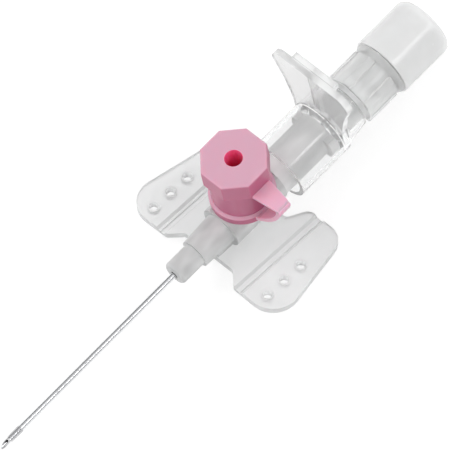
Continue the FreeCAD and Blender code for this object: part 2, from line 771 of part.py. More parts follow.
os.makedirs("parts", exist_ok=True)
for name, make in NODES.items():
    shape = make()
    shape.translate(FRAME_SHIFT)
    shape.exportStep("parts/" + name + ".step")
    print(name, len(shape.Solids), shape.isValid(), round(shape.Volume, 3))
print("length", round(TOTAL_LENGTH, 3), "rest height", round(REST_HEIGHT, 3), "port x", round(PORT_X, 3))
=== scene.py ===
"""Dresses a ported, winged IV cannula: clear, frosted and pink plastics, steel needle, stage and camera."""
import math

import bmesh
import bpy
from bpy.props import FloatProperty, FloatVectorProperty, PointerProperty
from mathutils import Matrix, Vector


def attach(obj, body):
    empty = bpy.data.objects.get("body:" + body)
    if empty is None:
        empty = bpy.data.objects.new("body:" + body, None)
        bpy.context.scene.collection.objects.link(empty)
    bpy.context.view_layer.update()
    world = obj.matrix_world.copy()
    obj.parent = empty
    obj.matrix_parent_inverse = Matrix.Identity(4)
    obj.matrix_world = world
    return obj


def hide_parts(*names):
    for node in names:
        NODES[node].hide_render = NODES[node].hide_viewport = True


bl_info = {
    "name": "IV cannula",
    "version": (1, 0, 0),
    "blender": (4, 5, 0),
    "location": "View3D > Sidebar > Cannula",
    "description": "Builds the visible pieces of an IV cannula round its solid model",
    "category": "Object",
}

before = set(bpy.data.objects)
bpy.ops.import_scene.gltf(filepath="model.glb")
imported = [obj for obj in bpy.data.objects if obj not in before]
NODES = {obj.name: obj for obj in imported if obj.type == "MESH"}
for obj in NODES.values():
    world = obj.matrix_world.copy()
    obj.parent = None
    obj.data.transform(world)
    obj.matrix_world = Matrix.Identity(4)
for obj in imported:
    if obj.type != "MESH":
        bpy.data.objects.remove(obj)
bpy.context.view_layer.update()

MM = 0.001
# Corners closer than this are one corner
SAME = 0.002 * MM
# Faces of a solid that meet at less than this are one flat face, in degrees
FLAT_ANGLE = 0.4
# Air left between clear skins that touch, in millimetres
SKIN_AIR = 0.03
# Edges that turn by more than this are rounded, in degrees
SHARP_ANGLE = 38.0
# Widths of the rounded edges, in millimetres
NEEDLE_ROUND = 0.005
CATHETER_ROUND = 0.01
HUB_ROUND = 0.12
WING_ROUND = 0.16
COLLAR_ROUND = 0.14
LID_ROUND = 0.26
GRIP_ROUND = 0.2
CHAMBER_ROUND = 0.12
FILTER_ROUND = 0.05
CAP_ROUND = 0.15
# Sides of a rounded edge
ROUND_STEPS = 3
# Share of the full rounding that the rims of the wings' holes get
HOLE_ROUND_SHARE = 0.4
# Where the wings start beside and under the hub, in millimetres from its axis
WING_ROOT_Y = 3.4
WING_TOP_Z = -2.6
WING_UNDER_Z = -3.9
# The holes of a wing: stations are from the port, along the slope of the plate
WING_HOLES = 3
WING_HOLE_FIRST = -7.7
WING_HOLE_PITCH = 3.33
WING_HOLE_Y = 10.84
WING_HOLE_R = 0.60
# How far the row of holes reaches from the port along the hub, and to each side of its middle line
WING_HOLE_REACH = 9.0
WING_HOLE_SPAN = 1.2 * WING_HOLE_R
# A wing's plate: its thickness, its slope in degrees, and the height of its top face at the port
WING_THICK = 1.0
WING_SLOPE = 7.4
WING_FACE_Z = -3.73
# A face of a wing is a wall where its normal has less than this share along the wing's own
WALL_SHARE = 0.5
# The catheter's way through the nose, and the station where the luer barrel starts
CATHETER_WAY_R = 0.8
TIP_END_X = 4.2
BARREL_X = 54.3
# The port's axis, and the radius and heights within which the walls of its lid's hole lie
PORT_X = 49.27
LID_HOLE_R = 1.35
LID_HOLE_LOW_Z = 7.9
LID_HOLE_TOP_Z = 12.9
# The thin strap of the port cap, which gets painted light, lies farther from the port's axis than this
STRAP_START = 4.9
# The finger plate's front face, its thickness, the height where it leaves the neck, and the rib behind it
PLATE_X = 64.52
PLATE_THICK = 1.0
PLATE_LOW_Z = 4.6
RIB_THICK = 0.9
# The front end of the skirt
SKIRT_FRONT_X = 55.92
# A face lies on a plane where it is this close to it
SLACK = 0.05
# The needle point, on the hub axis
AXIS_HEIGHT = 5.546 * MM
POINT_X = -42.96 * MM
# Sides of a ring, and of the small circle that is carried round it
RING_STEPS = 40
RING_SECTION_STEPS = 12
# Colours of the pieces that have no setting of their own
CATHETER_COLOUR = (0.96, 0.965, 0.97)
TIP_COLOUR = (0.70, 0.70, 0.71)
SILICONE_COLOUR = (0.80, 0.82, 0.83)
FILTER_COLOUR = (0.97, 0.97, 0.96)
WHITE = (1, 1, 1, 1)
# How far red, green and blue light spread in the opaque plastics, in millimetres
PINK_GLOW = (1.0, 0.3, 0.4)
WHITE_GLOW = (2.0, 2.0, 2.0)
# Flow marks in the opaque plastics, as a share of their colour
SOFT_MOTTLE = 0.03
# Smoothest and roughest patches of the clear and the opaque plastics, as shares of their roughness
PLASTIC_PATCHES = (0.85, 1.15)
SOFT_PATCHES = (0.9, 1.12)
# Lines along the drawn steel: darkest and lightest as shares of its colour, and their roughness
STEEL_SHADES = (0.92, 1.06)
STEEL_ROUGHNESS = (0.08, 0.13)


class CannulaFinishes(bpy.types.PropertyGroup):
    """Colours of the plastics and the steel, and of the light painted on the port cap."""
    pink: FloatVectorProperty(
        name="Port cap colour", description="Opaque pink of the port cap",
        subtype="COLOR", size=3, min=0, max=1, default=(0.46, 0.122, 0.218))
    # Painted light: a paler pink on faces that point up or down, standing in for sheen from above and light
    # bounced up from the floor
    painted_light_pink: FloatVectorProperty(
        name="Painted light pink", description="Pink painted as light on the faces of the port cap that point up or down",
        subtype="COLOR", size=3, min=0, max=1, default=(0.64, 0.365, 0.465))
    # Painted light: a strong red painted into the lid's hole, standing in for the shaded hole lit only
    # through its walls
    painted_hole_glow: FloatVectorProperty(
        name="Painted hole light", description="Red of the light that comes through the walls of the lid's hole",
        subtype="COLOR", size=3, min=0, max=1, default=(1.0, 0.15, 0.34))
    frosted: FloatVectorProperty(
        name="Frosted colour", description="Tint of the thick walls of the hub",
        subtype="COLOR", size=3, min=0, max=1, default=(0.77, 0.775, 0.775))
    thin: FloatVectorProperty(
        name="Wing colour", description="Tint of the thin wings",
        subtype="COLOR", size=3, min=0, max=1, default=(0.88, 0.885, 0.885))
    clear: FloatVectorProperty(
        name="Clear colour", description="Tint of the needle hub and flash chamber",
        subtype="COLOR", size=3, min=0, max=1, default=(0.99, 0.995, 0.995))
    cap: FloatVectorProperty(
        name="Rear cap colour", description="White of the rear cap",
        subtype="COLOR", size=3, min=0, max=1, default=(0.80, 0.805, 0.805))
    steel: FloatVectorProperty(
        name="Steel colour", description="Drawn steel of the needle",
        subtype="COLOR", size=3, min=0, max=1, default=(0.72, 0.72, 0.73))


class CannulaWings(bpy.types.PropertyGroup):
    """Sizes of the rings round the holes of the wings."""
    rim_width: FloatProperty(
        name="Ring width", description="Width of the ring round a hole",
        min=0, unit="LENGTH", default=0.28 * MM)
    rim_rise: FloatProperty(
        name="Ring rise", description="Height of a ring over the face of the wing",
        min=0, unit="LENGTH", default=0.04 * MM)
    rim_gap: FloatProperty(
        name="Ring gap", description="Distance from the wall of a hole to its ring",
        min=0, unit="LENGTH", default=0.04 * MM)


class CannulaStage(bpy.types.PropertyGroup):
    """Camera and light levels."""
    lens: FloatProperty(
        name="Lens", description="Focal length of the camera in millimetres",
        min=50, max=1500, default=1200)
    view_width: FloatProperty(
        name="View width", description="Width of the view at the hub",
        min=0.01, unit="LENGTH", default=61.98 * MM)
    ambient: FloatProperty(
        name="Ambient", description="Strength of the even light from all round", min=0, default=0.77)
    key: FloatProperty(
        name="Key light", description="Power of the large lamp above", unit="POWER", min=0, default=0.50)
    strip: FloatProperty(
        name="Strip light", description="Power of the long lamp that draws the bright streaks",
        unit="POWER", min=0, default=0.25)


def in_scene(name, data):
    """New object in the scene, at the origin."""
    obj = bpy.data.objects.new(name, data)
    bpy.context.scene.collection.objects.link(obj)
    return obj


def maths(tree, operation, *values):
    """Math node on sockets and plain numbers."""
    node = tree.nodes.new("ShaderNodeMath")
    node.operation = operation
    for socket, value in zip(node.inputs, values):
        if isinstance(value, bpy.types.NodeSocket):
            tree.links.new(value, socket)
        else:
            socket.default_value = value
    return node.outputs["Value"]


def ranged(tree, value, low, high, start=0.0, end=1.0):
    """Value between start and end spread over low to high."""
    spread = tree.nodes.new("ShaderNodeMapRange")
    spread.inputs["From Min"].default_value = start
    spread.inputs["From Max"].default_value = end
    spread.inputs["To Min"].default_value = low
    spread.inputs["To Max"].default_value = high
    tree.links.new(value, spread.inputs["Value"])
    return spread.outputs["Result"]


def shader_tree(name):
    """New material with a Principled shader, its node tree and an Object coordinate."""
    material = bpy.data.materials.new(name)
    material.use_nodes = True
    tree = material.node_tree
    shader = tree.nodes["Principled BSDF"]
    coordinate = tree.nodes.new("ShaderNodeTexCoord")
    return material, tree, shader, coordinate.outputs["Object"]


def noise(tree, coordinate, scale, detail, stretch=(1, 1, 1)):
    """Noise on Object coordinates, drawn out along an axis where stretch is small."""
    mapping = tree.nodes.new("ShaderNodeMapping")
    mapping.inputs["Scale"].default_value = stretch
    texture = tree.nodes.new("ShaderNodeTexNoise")
    texture.inputs["Scale"].default_value = scale
    texture.inputs["Detail"].default_value = detail
    tree.links.new(coordinate, mapping.inputs["Vector"])
    tree.links.new(mapping.outputs["Vector"], texture.inputs["Vector"])
    return texture.outputs["Fac"]


def bumped(tree, shader, height, strength, distance=0.02 * MM):
    """Small relief in the surface."""
    bump = tree.nodes.new("ShaderNodeBump")
    bump.inputs["Strength"].default_value = strength
    bump.inputs["Distance"].default_value = distance
    tree.links.new(height, bump.inputs["Height"])
    tree.links.new(bump.outputs["Normal"], shader.inputs["Normal"])


def tinted(tree, shader, value, dark, light, start=0.3, end=0.7):
    """Base colour that varies between two shades, where value goes from start to end."""
    ramp = tree.nodes.new("ShaderNodeValToRGB")
    first, last = ramp.color_ramp.elements
    first.color = (*dark, 1)
    last.color = (*light, 1)
    first.position = start
    last.position = end
    tree.links.new(value, ramp.inputs["Fac"])
    tree.links.new(ramp.outputs["Color"], shader.inputs["Base Color"])


def shade(colour, factor):
    """Colour made darker or lighter, up to white."""
    return tuple(min(1.0, channel * factor) for channel in colour)


def plastic(name, colour, roughness, transmission, ior, grain=0.0, mottle=0.03):
    """Moulded plastic: faint flow marks in its tint, and a fine surface grain."""
    material, tree, shader, place = shader_tree(name)
    shader.inputs["IOR"].default_value = ior
    shader.inputs["Transmission Weight"].default_value = transmission
    flow = noise(tree, place, scale=330, detail=2, stretch=(0.5, 1, 1))
    tinted(tree, shader, flow, shade(colour, 1 - mottle), shade(colour, 1 + mottle / 2))
    patches = noise(tree, place, scale=900, detail=3)
    rough = ranged(tree, patches, *(roughness * share for share in PLASTIC_PATCHES))
    tree.links.new(rough, shader.inputs["Roughness"])
    bumped(tree, shader, noise(tree, place, scale=5000, detail=2), grain)
    return material


def soft_plastic(name, colour, roughness, grain, glow, spread):
    """Opaque moulded plastic that lets a little light through its skin."""
    material, tree, shader, place = shader_tree(name)
    flow = noise(tree, place, scale=220, detail=2)
    tinted(tree, shader, flow, shade(colour, 1 - SOFT_MOTTLE), shade(colour, 1 + SOFT_MOTTLE))
    patches = noise(tree, place, scale=1200, detail=3)
    rough = ranged(tree, patches, *(roughness * share for share in SOFT_PATCHES))
    tree.links.new(rough, shader.inputs["Roughness"])
    shader.inputs["Subsurface Weight"].default_value = glow
    shader.inputs["Subsurface Radius"].default_value = spread
    shader.inputs["Subsurface Scale"].default_value = MM
    bumped(tree, shader, noise(tree, place, scale=5500, detail=2), grain)
    return material


def drawn_steel(name, colour):
    """Drawn stainless steel with fine lines along the tube."""
    material, tree, shader, place = shader_tree(name)
    shader.inputs["Metallic"].default_value = 1.0
    lines = noise(tree, place, scale=3500, detail=1, stretch=(0.02, 1, 1))
    tinted(tree, shader, lines, *(shade(colour, share) for share in STEEL_SHADES))
    tree.links.new(ranged(tree, lines, *STEEL_ROUGHNESS), shader.inputs["Roughness"])
    bumped(tree, shader, lines, strength=0.03, distance=0.01 * MM)
    return material


def porous(name, colour):
    """Sintered plastic disc: small grains that stand out of the surface."""
    material, tree, shader, place = shader_tree(name)
    cells = tree.nodes.new("ShaderNodeTexVoronoi")
    cells.inputs["Scale"].default_value = 7000
    tree.links.new(place, cells.inputs["Vector"])
    tinted(tree, shader, cells.outputs["Distance"], shade(colour, factor=0.9), colour)
    shader.inputs["Roughness"].default_value = 0.6
    shader.inputs["Transmission Weight"].default_value = 0.3
    bumped(tree, shader, cells.outputs["Distance"], strength=0.5, distance=0.05 * MM)
    return material


def painted_light_on_flats(material, pale):
    """Paints light into the base colour where the surface faces up or down: painted sheen on upward faces,
    painted bounce light on downward ones.
    """
    tree = material.node_tree
    shader = tree.nodes["Principled BSDF"]
    below = shader.inputs["Base Color"].links[0].from_socket
    coordinate = tree.nodes.new("ShaderNodeTexCoord")
    split = tree.nodes.new("ShaderNodeSeparateXYZ")
    tree.links.new(coordinate.outputs["Normal"], split.inputs["Vector"])
    # How much painted light a face gets, from how nearly it points straight up or down
    level = maths(tree, "ABSOLUTE", split.outputs["Z"])
    mix = tree.nodes.new("ShaderNodeMix")
    mix.data_type = "RGBA"
    mix.inputs["B"].default_value = (*pale, 1)
    tree.links.new(ranged(tree, level, 0.0, 1.0, start=0.1, end=0.8), mix.inputs["Factor"])
    tree.links.new(below, mix.inputs["A"])
    tree.links.new(mix.outputs["Result"], shader.inputs["Base Color"])


def give(node, material):
    """Puts one material on a carried-over piece."""
    piece = NODES[node]
    piece.data.materials.clear()
    piece.data.materials.append(material)
    for polygon in piece.data.polygons:
        polygon.material_index = 0


def merged_copy(node):
    """Mesh of a solid with its corners merged and its flat faces in one piece each."""
    bm = bmesh.new()
    bm.from_mesh(NODES[node].data)
    bmesh.ops.remove_doubles(bm, verts=bm.verts, dist=SAME)
    bmesh.ops.dissolve_limit(
        bm, angle_limit=math.radians(FLAT_ANGLE), use_dissolve_boundaries=False,
        verts=bm.verts, edges=bm.edges, delimit=set())
    return bm


def in_millimetres(point):
    """Station along the hub axis, distance across it and height over it, in millimetres."""
    return (point.x - POINT_X) / MM, point.y / MM, (point.z - AXIS_HEIGHT) / MM


def set_in_place(bm, name, body, node, material, weigh=None):
    """Makes a piece of a mesh, in place of a solid and on its body.

    weigh gives the share of the full rounding that an edge gets, from its middle.
    """
    for face in bm.faces:
        face.smooth = True
    weights = bm.edges.layers.float.new("bevel_weight_edge")
    for edge in bm.edges:
        if edge.calc_face_angle(0) < math.radians(SHARP_ANGLE):
            continue
        edge.smooth = False
        middle = (edge.verts[0].co + edge.verts[1].co) / 2
        edge[weights] = weigh(*in_millimetres(middle)) if weigh else 1.0
    mesh = bpy.data.meshes.new(name)
    bm.to_mesh(mesh)
    bm.free()
    mesh.materials.append(material)
    piece = in_scene(name, mesh)
    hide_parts(node)
    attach(piece, body)
    return piece


def rounded_edges(piece, width):
    """Rounds a piece's sharp edges and keeps its flat faces flat in shading."""
    bevel = piece.modifiers.new("rounded_edges", "BEVEL")
    bevel.width = width * MM
    bevel.segments = ROUND_STEPS
    bevel.limit_method = "WEIGHT"
    bevel.harden_normals = True
    bevel.miter_outer = "MITER_ARC"
    even = piece.modifiers.new("even_faces", "WEIGHTED_NORMAL")
    even.mode = "FACE_AREA"
    even.keep_sharp = True


def softened(node, name, body, material, width, weigh=None, air=0.0):
    """A solid's own shape with rounded edges and smooth round faces.

    weigh is as for set_in_place. air draws the skin in by so many millimetres, so that it
    doesn't lie in the skin of the piece that it touches.
    """
    bm = merged_copy(node)
    if air:
        bm.normal_update()
        for vert in bm.verts:
            vert.co -= vert.normal * air * MM
    piece = set_in_place(bm, name, body, node, material, weigh)
    rounded_edges(piece, width)
    return piece


def other_finish(piece, material, chosen):
    """Puts another material on chosen faces.

    chosen says yes or no to a face's middle, as three lengths in millimetres, and its normal.
    """
    piece.data.materials.append(material)
    index = len(piece.data.materials) - 1
    for polygon in piece.data.polygons:
        if chosen(*in_millimetres(polygon.center), polygon.normal):
            polygon.material_index = index


def combined(tree, axis, value):
    """Vector with a value along one axis."""
    vector = tree.nodes.new("ShaderNodeCombineXYZ")
    tree.links.new(value, vector.inputs[axis])
    return vector


def rim_tree():
    """Node tree of a row of flattened rings, one row on each face of a wing."""
    tree = bpy.data.node_groups.new("hole_rims", "GeometryNodeTree")
    sizes = ("Pitch", "Ring radius", "Ring width", "Ring height", "Wing thickness")
    sockets = [("Holes", "Int")] + [(name, "Float") for name in sizes] + [("Finish", "Material")]
    for name, kind in sockets:
        tree.interface.new_socket(name, in_out="INPUT", socket_type="NodeSocket" + kind)
    tree.interface.new_socket("Geometry", in_out="OUTPUT", socket_type="NodeSocketGeometry")
    given = tree.nodes.new("NodeGroupInput").outputs
    link = tree.links.new
    # One ring: a small circle carried round the hole, then flattened
    path = tree.nodes.new("GeometryNodeCurvePrimitiveCircle")
    path.inputs["Resolution"].default_value = RING_STEPS
    link(given["Ring radius"], path.inputs["Radius"])
    section = tree.nodes.new("GeometryNodeCurvePrimitiveCircle")
    section.inputs["Resolution"].default_value = RING_SECTION_STEPS
    link(maths(tree, "MULTIPLY", given["Ring width"], 0.5), section.inputs["Radius"])
    ring = tree.nodes.new("GeometryNodeCurveToMesh")
    link(path.outputs["Curve"], ring.inputs["Curve"])
    link(section.outputs["Curve"], ring.inputs["Profile Curve"])
    scale = combined(tree, "Z", maths(tree, "DIVIDE", given["Ring height"], given["Ring width"]))
    scale.inputs["X"].default_value = 1.0
    scale.inputs["Y"].default_value = 1.0
    flat = tree.nodes.new("GeometryNodeTransform")
    link(ring.outputs["Mesh"], flat.inputs["Geometry"])
    link(scale.outputs["Vector"], flat.inputs["Scale"])
    # The same ring on the lower face
    drop = combined(tree, "Z", maths(tree, "MULTIPLY", given["Wing thickness"], -1.0))
    lower = tree.nodes.new("GeometryNodeTransform")
    link(flat.outputs["Geometry"], lower.inputs["Geometry"])
    link(drop.outputs["Vector"], lower.inputs["Translation"])
    pair = tree.nodes.new("GeometryNodeJoinGeometry")
    link(flat.outputs["Geometry"], pair.inputs["Geometry"])
    link(lower.outputs["Geometry"], pair.inputs["Geometry"])
    # A pair at each hole of the row
    row = tree.nodes.new("GeometryNodeMeshLine")
    link(given["Holes"], row.inputs["Count"])
    link(combined(tree, "X", given["Pitch"]).outputs["Vector"], row.inputs["Offset"])
    placed = tree.nodes.new("GeometryNodeInstanceOnPoints")
    link(row.outputs["Mesh"], placed.inputs["Points"])
    link(pair.outputs["Geometry"], placed.inputs["Instance"])
    whole = tree.nodes.new("GeometryNodeRealizeInstances")
    smooth = tree.nodes.new("GeometryNodeSetShadeSmooth")
    finish = tree.nodes.new("GeometryNodeSetMaterial")
    link(placed.outputs["Instances"], whole.inputs["Geometry"])
    link(whole.outputs["Geometry"], smooth.inputs["Geometry"])
    link(smooth.outputs["Geometry"], finish.inputs["Geometry"])
    link(given["Finish"], finish.inputs["Material"])
    link(finish.outputs["Geometry"], tree.nodes.new("NodeGroupOutput").inputs["Geometry"])
    return tree


def grown(tree, values, name):
    """Plain mesh that a node tree makes from named values."""
    holder = in_scene(name + "_nodes", bpy.data.meshes.new(name + "_empty"))
    nodes = holder.modifiers.new(name, "NODES")
    nodes.node_group = tree
    for item in tree.interface.items_tree:
        if item.in_out == "INPUT":
            nodes[item.identifier] = values[item.name]
    bpy.context.view_layer.update()
    evaluated = holder.evaluated_get(bpy.context.evaluated_depsgraph_get())
    mesh = bpy.data.meshes.new_from_object(evaluated)
    mesh.name = name
    holder.modifiers.remove(nodes)
    bpy.data.objects.remove(holder)
    if not mesh.polygons:
        raise RuntimeError("the node tree made nothing for " + name)
    return mesh


def make_finishes():
    """Makes each plastic and metal of the cannula once."""
    look = bpy.context.scene.cannula_finishes
    drawn_steel("drawn_steel", look.steel)
    plastic("frosted_polypropylene", look.frosted,
            roughness=0.4, transmission=0.3, ior=1.45, grain=0.2, mottle=0.26)
    # Painted light: a lighter copy of the hub's plastic for the luer barrel, which lies in shade inside the
    # clear skirt
    plastic("barrel_painted_light", shade(look.frosted, factor=1.24),
            roughness=0.4, transmission=0.2, ior=1.45, grain=0.1, mottle=0.2)
    plastic("thin_polypropylene", look.thin, roughness=0.42, transmission=0.78, ior=1.3)
    # Painted light: a lighter, clearer copy of the wing plastic for the rings round the holes and the
    # holes' walls, in place of their dark shading
    plastic("rim_painted_light", shade(look.thin, factor=1.08), roughness=0.5, transmission=0.5, ior=1.15)
    # Painted shade: a darker copy of the wing plastic for the wings' outlines and the sides of their fold
    # grooves
    plastic("wing_wall_painted_shade", shade(look.thin, factor=0.84), roughness=0.42, transmission=0.6, ior=1.3)
    plastic("catheter_tube", CATHETER_COLOUR, roughness=0.06, transmission=1.0, ior=1.2)
    plastic("drawn_tip", TIP_COLOUR, roughness=0.1, transmission=0.85, ior=1.2)
    plastic("clear_skirt", look.clear, roughness=0.1, transmission=0.96, ior=1.3)
    # Painted shade: a darker, less clear copy of the grip's plastic for the plate's broad faces, and a
    # greyer one for its narrow faces, rib and skirt rim
    plastic("plate_painted_shade", shade(look.clear, factor=0.72), roughness=0.06, transmission=0.8, ior=1.33)
    plastic("edge_painted_shade", shade(look.clear, factor=0.97), roughness=0.15, transmission=0.55, ior=1.3)
    plastic("clear_chamber", shade(look.clear, factor=0.99), roughness=0.22, transmission=0.62, ior=1.3)
    soft_plastic("silicone", SILICONE_COLOUR, roughness=0.45, grain=0.1, glow=0.2, spread=WHITE_GLOW)
    pink = soft_plastic("pink_polyethylene", look.pink,
                        roughness=0.34, grain=0.12, glow=0.6, spread=PINK_GLOW)
    # Painted light: the cap's flat faces get the paler pink, as painted sheen and bounce light
    painted_light_on_flats(pink, look.painted_light_pink)
    # Painted light: the strap gets a paler copy of the cap's pink, with still more painted light on its
    # flat faces, standing in for light through the thin strap
    strap = soft_plastic("strap_painted_light", shade(look.painted_light_pink, factor=1.06),
                         roughness=0.34, grain=0.12, glow=0.8, spread=PINK_GLOW)
    painted_light_on_flats(strap, shade(look.painted_light_pink, factor=1.2))
    # Painted light: the red of the lid's hole
    soft_plastic("painted_hole_glow", look.painted_hole_glow, roughness=0.5, grain=0.0, glow=1.0, spread=PINK_GLOW)
    soft_plastic("white_polypropylene", look.cap, roughness=0.26, grain=0.1, glow=1.0, spread=WHITE_GLOW)
    porous("porous_filter", FILTER_COLOUR)


def finishes():
    """The plastics and metals by name, made by the first operator that asks for them."""
    if "drawn_steel" not in bpy.data.materials:
        make_finishes()
    return bpy.data.materials


class CANNULA_OT_needle(bpy.types.Operator):
    """Finish the steel needle and the soft tube over it"""
    bl_idname = "cannula.needle"
    bl_label = "Needle and catheter"

    def execute(self, context):
        made = finishes()
        steel = made["drawn_steel"]
        softened("needle_cannula", "needle", "introducer", steel, NEEDLE_ROUND, air=SKIN_AIR / 2)
        give("crimp_ferrule", steel)
        tube = softened("catheter_tube", "catheter", "hub", made["catheter_tube"], CATHETER_ROUND)
        other_finish(tube, made["drawn_tip"], lambda x, y, z, facing: x < TIP_END_X)
        return {"FINISHED"}


class CANNULA_OT_hub(bpy.types.Operator):
    """Finish the catheter hub, its wings and its valve"""
    bl_idname = "cannula.hub"
    bl_label = "Catheter hub"

    @staticmethod
    def edge_share(x, y, z):
        """The catheter's way through the nose keeps its sharp mouth."""
        return 0.0 if math.hypot(y, z) < CATHETER_WAY_R else 1.0

    @staticmethod
    def hole_rims(side, material, sizes):
        """Rounded rings round the holes on both faces of an outer wing."""
        values = {
            "Holes": WING_HOLES,
            "Pitch": WING_HOLE_PITCH * MM,
            "Ring radius": WING_HOLE_R * MM + sizes.rim_gap + sizes.rim_width / 2,
            "Ring width": sizes.rim_width,
            "Ring height": 2 * sizes.rim_rise,
            "Wing thickness": WING_THICK * MM,
            "Finish": material,
        }
        mesh = grown(rim_tree(), values, "hole_rims_" + side)
        y = WING_HOLE_Y if side == "left" else -WING_HOLE_Y
        first = Matrix.Translation(Vector((WING_HOLE_FIRST, y, 0)) * MM)
        slope = Matrix.Rotation(math.radians(WING_SLOPE), 4, "Y")
        port = Vector((POINT_X + PORT_X * MM, 0, AXIS_HEIGHT + WING_FACE_Z * MM))
        mesh.transform(Matrix.Translation(port) @ slope @ first)
        piece = in_scene("hole_rims_" + side, mesh)
        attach(piece, "wing_" + side)

    @staticmethod
    def rim_share(x, y, z):
        """The holes keep sharper rims than the outline."""
        return HOLE_ROUND_SHARE if abs(abs(y) - WING_HOLE_Y) < WING_HOLE_SPAN else 1.0

    @staticmethod
    def on_wing(x, y, z, facing):
        """The inner wings, which are one moulding with the hub."""
        return z < WING_UNDER_Z or (abs(y) > WING_ROOT_Y and z < WING_TOP_Z)

    @staticmethod
    def on_wing_wall(x, y, z, facing):
        """The outline of a wing, the sides of its fold groove and the walls of its holes."""
        slope = math.radians(WING_SLOPE)
        across = abs(facing.x * math.sin(slope) + facing.z * math.cos(slope)) < WALL_SHARE
        return across and abs(y) > WING_ROOT_Y and z < WING_TOP_Z

    @classmethod
    def on_hole_wall(cls, x, y, z, facing):
        """The walls of a wing's holes, without its outline and groove."""
        by_hole = abs(abs(y) - WING_HOLE_Y) < WING_HOLE_SPAN and abs(x - PORT_X) < WING_HOLE_REACH
        return by_hole and cls.on_wing_wall(x, y, z, facing)

    def execute(self, context):
        made = finishes()
        thick = made["frosted_polypropylene"]
        thin = made["thin_polypropylene"]
        wall = made["wing_wall_painted_shade"]
        rim = made["rim_painted_light"]
        hub = softened("catheter_hub", "hub_body", "hub", thick, HUB_ROUND, self.edge_share)
        # Painted light: the barrel gets the lighter copy of the hub's plastic
        other_finish(hub, made["barrel_painted_light"], lambda x, y, z, facing: x > BARREL_X)
        other_finish(hub, thin, self.on_wing)
        # Painted shade: the inner wings' outlines and groove walls get the darker copy
        other_finish(hub, wall, self.on_wing_wall)
        for side in ("left", "right"):
            name = "outer_wing_" + side
            panel = softened("wing_panel_" + side, name, "wing_" + side, thin, WING_ROUND, self.rim_share)
            # Painted shade: the outer wing's outline and groove walls get the darker copy
            other_finish(panel, wall, self.on_wing_wall)
            # Painted light: the walls of the holes get the lighter copy
            other_finish(panel, rim, self.on_hole_wall)
            self.hole_rims(side, rim, context.scene.cannula_wings)
        give("port_valve", made["silicone"])
        return {"FINISHED"}


class CANNULA_OT_port_cap(bpy.types.Operator):
    """Finish the pink port cap"""
    bl_idname = "cannula.port_cap"
    bl_label = "Port cap"

    @staticmethod
    def in_hole(x, y, z, facing):
        """The walls and floor of the lid's hole, but not the lid's underside, whose middle is the same."""
        inside = math.hypot(x - PORT_X, y) < LID_HOLE_R and LID_HOLE_LOW_Z < z < LID_HOLE_TOP_Z
        return inside and facing.z > -WALL_SHARE

    @staticmethod
    def on_strap(x, y, z, facing):
        """The strap on both sides of its fold, on the collar and on the lid."""
        return y < -STRAP_START

    def execute(self, context):
        made = finishes()
        pink = made["pink_polyethylene"]
        collar = softened("port_cap_collar", "cap_collar", "cap_collar", pink, COLLAR_ROUND)
        lid = softened("port_cap_lid", "cap_lid", "cap_lid", pink, LID_ROUND)
        # Painted light: the strap's faces on collar and lid get the paler strap pink
        other_finish(collar, made["strap_painted_light"], self.on_strap)
        other_finish(lid, made["strap_painted_light"], self.on_strap)
        # Painted light: the walls and floor of the lid's hole get the painted red
        other_finish(lid, made["painted_hole_glow"], self.in_hole)
        return {"FINISHED"}


class CANNULA_OT_grip(bpy.types.Operator):
    """Finish the clear finger grip with its skirt"""
    bl_idname = "cannula.grip"
    bl_label = "Finger grip"

    @staticmethod
    def on_plate(x, y, z, facing):
        """The broad front and rear faces of the finger plate."""
        middle = PLATE_X + PLATE_THICK / 2
        return z > PLATE_LOW_Z and abs(abs(x - middle) - PLATE_THICK / 2) < SLACK

    @staticmethod
    def on_edges(x, y, z, facing):
        """The narrow face round the plate, the rib behind it and the skirt's front rim."""
        behind = x - PLATE_X - PLATE_THICK
        by_plate = z > PLATE_LOW_Z and -PLATE_THICK - SLACK < behind < RIB_THICK + SLACK
        narrow = abs(facing.x) < WALL_SHARE or behind > SLACK
        return (by_plate and narrow) or x < SKIRT_FRONT_X + SLACK

    def execute(self, context):
        made = finishes()
        grip = softened("needle_hub", "finger_grip", "introducer", made["clear_skirt"], GRIP_ROUND)
        # Painted shade: the plate's faces and edges get the greyer copies of the clear plastic
        other_finish(grip, made["plate_painted_shade"], self.on_plate)
        other_finish(grip, made["edge_painted_shade"], self.on_edges)
        return {"FINISHED"}


class CANNULA_OT_chamber(bpy.types.Operator):
    """Finish the flash chamber and its vent filter"""
    bl_idname = "cannula.chamber"
    bl_label = "Flash chamber"

    def execute(self, context):
        made = finishes()
        milky = made["clear_chamber"]
        softened("flash_chamber", "chamber", "introducer", milky, CHAMBER_ROUND, air=SKIN_AIR)
        grains = made["porous_filter"]
        softened("vent_filter", "filter_disc", "introducer", grains, FILTER_ROUND, air=SKIN_AIR)
        return {"FINISHED"}


class CANNULA_OT_rear_cap(bpy.types.Operator):
    """Finish the rear cap"""
    bl_idname = "cannula.rear_cap"
    bl_label = "Rear cap"

    def execute(self, context):
        softened("rear_cap", "luer_cap", "luer_cap", finishes()["white_polypropylene"], CAP_ROUND)
        return {"FINISHED"}


# Directions of the picture's right and up
CAMERA_RIGHT = Vector((0.681, -0.721, -0.128))
CAMERA_UP = Vector((0.681, 0.560, 0.472))
# Where the middle of the picture lies on the hub, as lengths along right, up and towards the camera
PICTURE_MIDDLE = (30.716 * MM, 30.579 * MM, -12.0 * MM)
# The camera's sensor in millimetres, and the distances between which it sees things, in metres
SENSOR_WIDTH = 36.0
NEAREST_SEEN = 0.01
FARTHEST_SEEN = 10.0
# Half the width of the floor, and the grey of the card that it is
FLOOR_HALF = 1.6
FLOOR_CARD = (0.88, 0.88, 0.88, 1)
